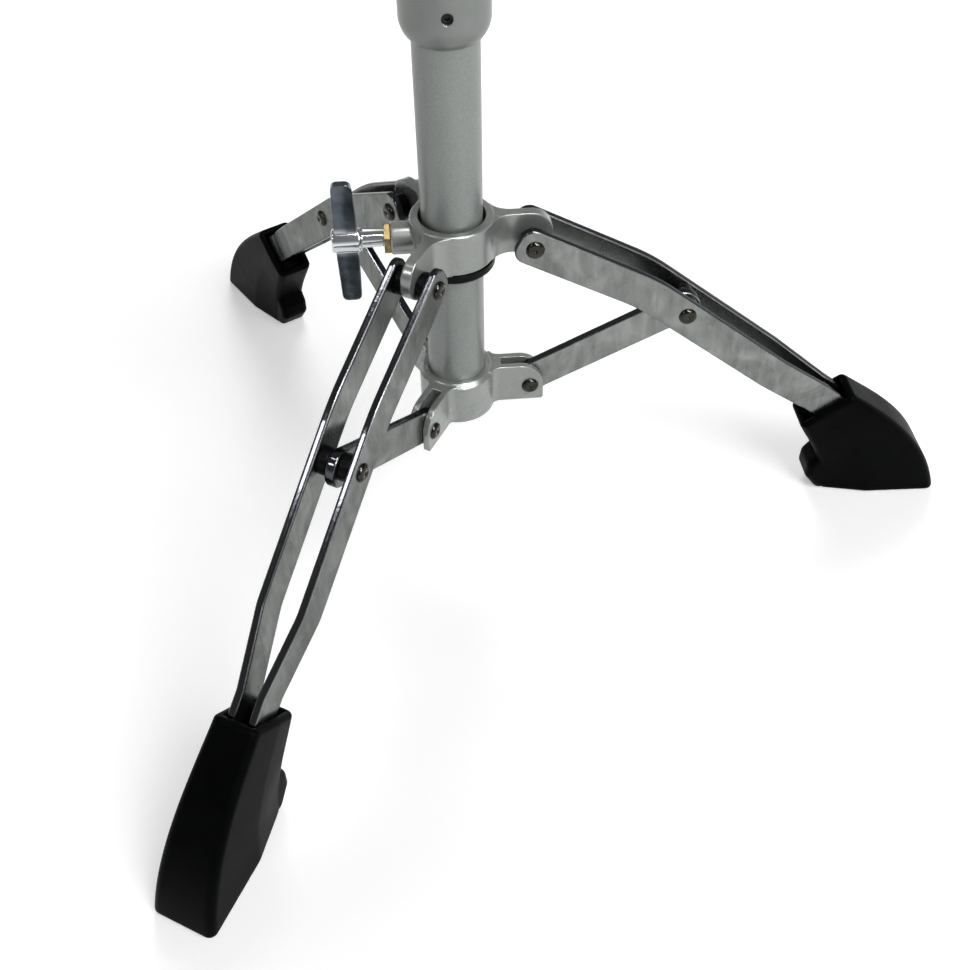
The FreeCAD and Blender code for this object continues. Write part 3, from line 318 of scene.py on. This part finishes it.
def polishedChrome(setup):
    # Bright plating with a thin haze of handling marks
    material, tree, shader = newFinish("polishedChrome", setup["metallic"])
    where = surfacePlace(tree)
    haze = noise(tree, where, *setup["haze"])
    wave = noise(tree, where, *setup["wave"])
    color = ramp(tree, haze, setup["tones"])
    finishSurface(tree, shader, setup, color, mapRange(tree, haze, *setup["rough"]), wave)
    return material


wingFinish = {
    "metallic": 1.0,
    "hub": (0.60, 0.62, 0.64),
    "hubRadius": 0.0050,
    "bladeStart": 0.0074,
    # The blades' tones are a painted dark reflection, dark blue-grey chrome standing in for a dark room
    # reflected in it
    "tones": ((0.3, (0.062, 0.075, 0.093)), (0.7, (0.18, 0.205, 0.23))),
    "rough": (0.07, 0.15),
    "haze": (90.0, 4.0, 0.6, 0.6),
    "wave": (160.0, 1.0),
    "depth": 0.00002,
    "edge": 0.0007,
}


def wingChrome(setup, node, axis):
    # Bright hub about the screw's axis; the blades beyond it carry a painted dark reflection, a dark
    # blue-grey colour
    material, tree, shader = newFinish(node + "Chrome", setup["metallic"])
    low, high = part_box(node)
    flat = [0.0 if number == axis else 1.0 for number in range(3)]
    middle = [-(a + b) / 2 * share for a, b, share in zip(low, high, flat)]
    place = addNode(tree, "TexCoord").outputs["Object"]
    centred = addNode(tree, "Mapping", Vector=place, Location=middle, Scale=flat)
    away = vectorMath(tree, "LENGTH", centred.outputs["Vector"])
    isBlade = mapRange(tree, away, 0.0, 1.0, setup["hubRadius"], setup["bladeStart"])
    haze = noise(tree, place, *setup["haze"])
    wave = noise(tree, place, *setup["wave"])
    color = mixColor(tree, isBlade, setup["hub"], ramp(tree, haze, setup["tones"]))
    finishSurface(tree, shader, setup, color, mapRange(tree, haze, *setup["rough"]), wave)
    return material


rivetFinish = {
    "metallic": 1.0,
    # The heads' dark tones are a painted dark reflection
    "tones": ((0.3, (0.026, 0.025, 0.021)), (0.7, (0.055, 0.053, 0.046))),
    "rough": (0.05, 0.10),
    "drift": (300.0, 3.0, 0.6, 0.8),
    "depth": 0.00002,
    "edge": 0.0003,
}


def rivetSteel(setup):
    # Pressed rivet steel: smooth heads whose dark colour is a painted dark reflection, with a drift of dull
    # oil
    material, tree, shader = newFinish("rivetSteel", setup["metallic"])
    drift = noise(tree, surfacePlace(tree), *setup["drift"])
    color = ramp(tree, drift, setup["tones"])
    finishSurface(tree, shader, setup, color, mapRange(tree, drift, *setup["rough"]), drift)
    return material


yellowFinish = {
    "metallic": 1.0,
    "tones": ((0.3, (0.21, 0.15, 0.055)), (0.5, (0.32, 0.25, 0.105)), (0.7, (0.39, 0.33, 0.185))),
    "rough": (0.26, 0.40),
    "drift": (190.0, 3.0, 0.5, 1.5),
    "grain": (1500.0, 2.0),
    "depth": 0.00002,
    "edge": 0.0004,
}


def yellowPlate(setup):
    # Passivated zinc: yellow that drifts from brown to a paler tone
    material, tree, shader = newFinish("yellowPlate", setup["metallic"])
    where = surfacePlace(tree)
    drift = noise(tree, where, *setup["drift"])
    grain = noise(tree, where, *setup["grain"])
    color = ramp(tree, drift, setup["tones"])
    finishSurface(tree, shader, setup, color, mapRange(tree, drift, *setup["rough"]), grain)
    return material


# Gloss is the strength of the reflections, and sheen the grey that tints them
mouldingBody = {
    "drift": (38.0, 5.0, 0.6, 0.5),
    "grainShare": 0.3,
}
oxideFinish = {
    **mouldingBody,
    "metallic": 0.8,
    "gloss": 0.4,
    "sheen": 1.0,
    "tones": ((0.35, (0.012, 0.012, 0.013)), (0.72, (0.045, 0.044, 0.043))),
    "rough": (0.32, 0.5),
    "grain": (1800.0, 3.0, 0.6),
    "depth": 0.00002,
    "edge": 0.0003,
}
nylonFinish = {
    **mouldingBody,
    "metallic": 0.0,
    "gloss": 0.12,
    "sheen": 0.6,
    "tones": ((0.35, (0.0012, 0.0012, 0.0014)), (0.72, (0.004, 0.004, 0.0045))),
    "rough": (0.28, 0.40),
    "grain": (1500.0, 3.0, 0.6),
    "depth": 0.00002,
    "edge": 0.0005,
}
rubberFinish = {
    **mouldingBody,
    "metallic": 0.0,
    "gloss": 0.035,
    "sheen": 0.3,
    "tones": ((0.35, (0.0012, 0.0014, 0.0016)), (0.72, (0.0032, 0.0034, 0.0036))),
    "rough": (0.36, 0.48),
    "grain": (1300.0, 3.0, 0.6),
    "depth": 0.00004,
    "edge": 0.0016,
}


def darkMoulding(name, setup):
    # Dark moulded or blackened surface: fine grain, drifting sheen, a few paler rubbed places
    material, tree, shader = newFinish(name, setup["metallic"])
    shader.inputs["Specular IOR Level"].default_value = setup["gloss"]
    shader.inputs["Specular Tint"].default_value = (*[setup["sheen"]] * 3, 1.0)
    where = surfacePlace(tree)
    grain = noise(tree, where, *setup["grain"])
    drift = noise(tree, where, *setup["drift"])
    color = ramp(tree, mixColor(tree, setup["grainShare"], drift, grain), setup["tones"])
    finishSurface(tree, shader, setup, color, mapRange(tree, drift, *setup["rough"]), grain)
    return material


legAzimuths = {"1": 0, "2": 120, "3": 240}  # leg and stay numbers
armAzimuths = {"1": 60, "2": 180, "3": 300}  # basket arm numbers
barFinishes = {azimuth: mottledBar(barFinish, azimuth) for azimuth in range(0, 360, 60)}
finishes = {  # by the record's material slot
    "tube_steel": satinTube(tubeFinish),
    "cast_silver": satinCast("satinCast", castFinish),
    "bright_chrome": polishedChrome(chromeFinish),
    "yellow_plate": yellowPlate(yellowFinish),
    "black_steel": darkMoulding("blackOxide", oxideFinish),
    "black_nylon": darkMoulding("blackNylon", nylonFinish),
    "black_rubber": darkMoulding("blackRubber", rubberFinish),
}
ownFinishes = {  # nodes that differ from the rest of their slot; a wing's number is its screw's axis
    "clamp_housing": satinCast("satinHousing", housingFinish),
    "collar_wing": wingChrome(wingFinish, "collar_wing", 0),
    "clamp_wing": wingChrome(wingFinish, "clamp_wing", 1),
    "tilter_wing_nut": wingChrome(wingFinish, "tilter_wing_nut", 1),
}
rivets = rivetSteel(rivetFinish)


def finishOf(node, slotName):
    if node.endswith("rivets"):
        return rivets
    if slotName != "bar_steel":
        return ownFinishes.get(node, finishes[slotName])
    kind, number = node.split("_")[:2]
    return barFinishes[(armAzimuths if kind == "arm" else legAzimuths)[number]]


for row in frame["record"]["subparts"]:
    mesh = nodes[row["node"]].data
    mesh.materials.clear()
    mesh.materials.append(finishOf(row["node"], row["material_slot"]))


# Turned pieces, worked out as grids of height along an axis by angle round it
def turnedGrid(foot, axis, start, heights, radii, turns):
    # Point = foot + axis * height + (start * cos(angle) + side * sin(angle)) * radius,
    # for every height and angle, where side is square to axis and start
    axis = np.asarray(axis, float)
    start = np.asarray(start, float)
    side = np.cross(axis, start)
    angles = np.arange(turns) * (2 * np.pi / turns)
    ring = np.cos(angles)[:, None] * start + np.sin(angles)[:, None] * side
    radii = np.broadcast_to(np.reshape(radii, (len(heights), -1)), (len(heights), turns))
    spine = np.asarray(foot, float) + heights[:, None] * axis
    points = spine[:, None, :] + radii[:, :, None] * ring[None]
    ends = np.stack((spine[0], spine[-1]))
    return points, ends


def turnedFaces(points, first):
    # Quads between neighbouring rings, and a fan of triangles to the middle point of each end
    rows, turns = points.shape[:2]
    here = first + np.arange(rows * turns).reshape(rows, turns)
    beside = np.roll(here, -1, axis=1)
    quads = np.stack((here[:-1], beside[:-1], beside[1:], here[1:]), axis=-1).reshape(-1, 4)
    low = first + rows * turns
    lowFan = np.stack((np.full(turns, low), beside[0], here[0]), axis=-1)
    highFan = np.stack((np.full(turns, low + 1), here[-1], beside[-1]), axis=-1)
    return quads.tolist() + lowFan.tolist() + highFan.tolist()


sharpCorner = math.radians(38)  # an edge that bends more than this stays crisp


def turnedPiece(name, grids, finish, body, node):
    # Grids become one mesh, which stands for the node and moves with its body
    points, faces, count = [], [], 0
    for grid, ends in grids:
        faces += turnedFaces(grid, count)
        points += [grid.reshape(-1, 3), ends]
        count += grid.shape[0] * grid.shape[1] + len(ends)
    mesh = bpy.data.meshes.new(name)
    mesh.from_pydata(np.concatenate(points).tolist(), [], faces)
    mesh.shade_smooth()
    mesh.set_sharp_from_angle(angle=sharpCorner)
    mesh.materials.append(finish)
    piece = bpy.data.objects.new(name, mesh)
    scene.collection.objects.link(piece)
    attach(piece, body)
    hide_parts(node)


rivetShape = {
    "shank": 0.0025,
    "head": 0.0040,
    "ring": 0.0020,
    "rise": 0.0017,
    "hollow": 0.48,  # roll in radians at the hollow in the middle of the head
    "rows": 26,
    "turns": 44,
}


def rivetGrid(setup, place, axle, half):
    # Rolled head: height = rise * sin(roll) and radius = ring - (head - ring) * cos(roll),
    # as the roll goes from the hollow to the rim; the shank joins the two heads
    roll = np.linspace(setup["hollow"], np.pi, setup["rows"])
    radius = setup["ring"] - (setup["head"] - setup["ring"]) * np.cos(roll)
    height = half + setup["rise"] * np.sin(roll)
    heights = np.concatenate((-height, [-half, half], height[::-1]))
    radii = np.concatenate((radius, [setup["shank"], setup["shank"]], radius[::-1]))
    return turnedGrid(place, axle, (0.0, 0.0, 1.0), heights, radii, setup["turns"])


def spoke(azimuth, reach, height):
    # Point at a reach and height on the line of a leg, and the direction across that leg
    angle = math.radians(azimuth)
    place = (reach * math.cos(angle), reach * math.sin(angle), height)
    return place, (-math.sin(angle), math.cos(angle), 0.0)


# Pivots of a leg as reach and height, and half of the length between a rivet's two heads
legPivots = {
    "upper": (0.0341, 0.1636),
    "knee": (0.103728, 0.1236),
    "lower": (0.0341, 0.0836),
    "barHalf": 0.01075,
    "cheekHalf": 0.00515,
}

for legName, legAzimuth in legAzimuths.items():
    spots = [spoke(legAzimuth, *legPivots[key]) for key in ("upper", "knee")]
    pins = [rivetGrid(rivetShape, *spot, legPivots["barHalf"]) for spot in spots]
    turnedPiece("legRivets" + legName, pins, rivets, "leg_" + legName,
                "leg_%s_rivets" % legName)
spots = [spoke(azimuth, *legPivots["lower"]) for azimuth in legAzimuths.values()]
pins = [rivetGrid(rivetShape, *spot, legPivots["cheekHalf"]) for spot in spots]
turnedPiece("stayRivets", pins, rivets, "base", "stay_rivets")

threadFlat = 0.2  # share of a pitch that is flat at the crest, and as much at the root


def threadRadius(setup, heights, turns):
    # Radius = crest - depth * groove; groove is a triangle wave of height / pitch - angle / full turn,
    # cut flat at both ends
    wave = (heights[:, None] / setup["pitch"] - np.arange(turns)[None] / turns) % 1.0
    groove = (1.0 - 2.0 * np.abs(wave - 0.5) - threadFlat) / (1.0 - 2.0 * threadFlat)
    return setup["crest"] - setup["depth"] * np.clip(groove, 0.0, 1.0)


postThread = {
    "crest": 0.0040,
    "depth": 0.0006,
    "pitch": 0.00125,
    "foot": 0.45985,
    "start": 0.4700,
    "tip": 0.5088,
    "point": 0.0009,
    "rows": 280,
    "turns": 48,
}


def threadedPost(setup):
    # Radius = crest up to the start, then the thread's radius, but never more than
    # crest - point + (tip - height), so the tip is turned down at 45 degrees
    turns = setup["turns"]
    threaded = np.linspace(setup["start"], setup["tip"], setup["rows"])
    cone = setup["crest"] - setup["point"] + (setup["tip"] - threaded)
    thread = np.minimum(threadRadius(setup, threaded, turns), cone[:, None])
    plain = np.full((2, turns), setup["crest"])
    heights = np.concatenate(([setup["foot"], setup["start"] - setup["depth"]], threaded))
    radii = np.concatenate((plain, thread))
    grid = turnedGrid((0, 0, 0), (0, 0, 1), (1, 0, 0), heights, radii, turns)
    turnedPiece("threadedPost", [grid], finishes["bright_chrome"], "tilter_head",
                "basket_post")


threadedPost(postThread)

hexBolt = {
    "crest": 0.0039,
    "depth": 0.0005,
    "pitch": 0.00125,
    "tip": 0.02345,
    "threadEnd": 0.0100,
    "point": 0.0008,
    "headFoot": 0.0092,
    "headTop": 0.0142,
    "flats": 0.0120,
    "chamfer": 0.0056,
    "chamferHeight": 0.0012,
    "chamferRows": 9,
    "axisHeight": 0.4378,
    "rows": 110,
    "turns": 72,
}


def tiltBolt(setup):
    # Heights run from the threaded tip at the wing nut to the top of the six-sided head
    # Thread: its own radius, but never more than crest - point + (height + tip)
    # Head: flats / 2 / cos(angle from the middle of the nearest flat), but never more than
    # chamfer + (headTop - height) * root of 3, a cone at 30 degrees to the top
    turns = setup["turns"]
    threaded = np.linspace(-setup["tip"], -setup["threadEnd"], setup["rows"])
    point = setup["crest"] - setup["point"] + threaded + setup["tip"]
    thread = np.minimum(threadRadius(setup, threaded, turns), point[:, None])
    shank = np.full((2, turns), setup["crest"])
    angles = np.arange(turns) * (2 * np.pi / turns)
    sixSided = setup["flats"] / 2 / np.cos(angles % (np.pi / 3) - np.pi / 6)
    upper = np.linspace(setup["headTop"] - setup["chamferHeight"], setup["headTop"], setup["chamferRows"])
    cone = setup["chamfer"] + (setup["headTop"] - upper) * math.sqrt(3.0)
    uncut = [setup["flats"]]  # wider than the corners, so they stay whole at the head's foot
    head = np.minimum(sixSided[None], np.concatenate((uncut, cone))[:, None])
    steps = [setup["depth"] - setup["threadEnd"], setup["headFoot"], setup["headFoot"]]
    heights = np.concatenate((threaded, steps, upper))
    radii = np.concatenate((thread, shank, head))
    grid = turnedGrid((0, 0, setup["axisHeight"]), (0, 1, 0), (1, 0, 0), heights, radii, turns)
    turnedPiece("tiltBolt", [grid], finishes["bright_chrome"], "upper_tube",
                "tilter_bolt")


tiltBolt(hexBolt)
print("rivets, post thread and tilt bolt made")


# Floor and light
def seenRays(tree):
    # One for rays from the camera, in reflections and through clear things, nought for other light
    rays = addNode(tree, "LightPath").outputs
    seen = math2(tree, "MAXIMUM", rays["Is Camera Ray"], rays["Is Glossy Ray"])
    return math2(tree, "MAXIMUM", seen, rays["Is Transmission Ray"])


studioFloor = {
    "half": 30.0,
    "color": (0.80, 0.80, 0.80),
    "glow": 0.415,
    "farGlow": 0.95,
    "far": (0.42, 1.7),  # distances from the middle between which the glow rises
}


def makeFloor(setup):
    # Matte floor that also glows where it is seen, and more so away from the stand
    half = setup["half"]
    corners = [(-half, -half, 0), (half, -half, 0), (half, half, 0), (-half, half, 0)]
    mesh = bpy.data.meshes.new("studioFloor")
    mesh.from_pydata(corners, [], [(0, 1, 2, 3)])
    floor = bpy.data.objects.new("studioFloor", mesh)
    scene.collection.objects.link(floor)
    material = bpy.data.materials.new("studioFloor")
    material.use_nodes = True
    tree = material.node_tree
    tree.nodes.clear()
    matte = addNode(tree, "BsdfDiffuse", Color=(*setup["color"], 1.0))
    away = vectorMath(tree, "LENGTH", addNode(tree, "TexCoord").outputs["Object"])
    level = mapRange(tree, away, setup["glow"], setup["farGlow"], *setup["far"])
    shown = math2(tree, "MULTIPLY", seenRays(tree), level)
    glow = addNode(tree, "Emission", Color=(1.0, 1.0, 1.0, 1.0), Strength=shown)
    both = tree.nodes.new("ShaderNodeAddShader")
    tree.links.new(matte.outputs[0], both.inputs[0])
    tree.links.new(glow.outputs[0], both.inputs[1])
    out = tree.nodes.new("ShaderNodeOutputMaterial")
    tree.links.new(both.outputs[0], out.inputs["Surface"])
    mesh.materials.append(material)


makeFloor(studioFloor)

studioSky = {
    "levels": ((0.04, 1.0), (0.34, 0.25), (0.8, 0.20)),  # brightness by the height of a direction
    "sides": (0.30, 1.10),  # strength of the light from the left and from the right
    "sideReach": 0.7,
}


def makeSky(setup):
    # Pale horizon and dim ceiling; the light that falls on the object is also weaker from the left
    world = bpy.data.worlds.new("studioSky")
    scene.world = world
    world.use_nodes = True
    tree = world.node_tree
    tree.nodes.clear()
    toward = addNode(tree, "SeparateXYZ", Vector=addNode(tree, "TexCoord").outputs["Generated"]).outputs
    shade = ramp(tree, toward["Z"], setup["levels"])
    side = mapRange(tree, toward["X"], *setup["sides"], -setup["sideReach"], setup["sideReach"])
    level = math2(tree, "MAXIMUM", seenRays(tree), side)
    glow = addNode(tree, "Background", Color=shade, Strength=level)
    out = tree.nodes.new("ShaderNodeOutputWorld")
    tree.links.new(glow.outputs[0], out.inputs["Surface"])


makeSky(studioSky)

# A mirrored lamp shows only in reflections, and an unmirrored one lights without showing in them
studioLamps = {
    "keyLamp": {"place": (0.85, -1.05, 1.45), "target": (0.03, 0.0, 0.12), "size": (1.1, 1.1),
                "power": 24.5},
    "backLamp": {"place": (0.10, 1.3, 1.35), "target": (0.0, 0.0, 0.16), "size": (0.7, 0.7),
                 "power": 15.0, "unmirrored": True},
    "topLamp": {"place": (0.12, -0.15, 1.55), "target": (0.02, 0.0, 0.13), "size": (0.30, 0.30),
                "power": 14.0, "mirrored": True},
    "endLamp": {"place": (-0.562, 0.129, 1.395), "target": (-0.02, -0.035, 0.17), "size": (0.055, 0.20),
                "power": 0.86, "roll": -24.0, "mirrored": True},  # upper ends of the front bars
    "kneeLamp": {"place": (-0.917, -0.448, 1.102), "target": (-0.052, -0.09, 0.13), "size": (0.145, 0.17),
                 "power": 1.95, "roll": -60.0, "mirrored": True},  # front bars at the knee
    "glintLamp": {"place": (0.42, -0.75, 1.25), "target": (0.05, 0.0, 0.13), "size": (0.28, 0.28),
                  "power": 12.0, "mirrored": True},
}


def makeLamp(name, setup):
    data = bpy.data.lights.new(name, "AREA")
    data.shape = "RECTANGLE"
    data.size, data.size_y = setup["size"]
    data.energy = setup["power"]
    lamp = bpy.data.objects.new(name, data)
    lamp.location = setup["place"]
    aim = Vector(setup["target"]) - Vector(setup["place"])
    roll = Matrix.Rotation(math.radians(setup.get("roll", 0.0)), 4, "Z")
    lamp.rotation_euler = (aim.to_track_quat("-Z", "Y").to_matrix().to_4x4() @ roll).to_euler()
    lamp.visible_diffuse = not setup.get("mirrored", False)
    lamp.visible_glossy = not setup.get("unmirrored", False)
    scene.collection.objects.link(lamp)


for lampName, lampSetup in studioLamps.items():
    makeLamp(lampName, lampSetup)
scene.view_settings.view_transform = "Standard"
print("floor, sky and lamps set")
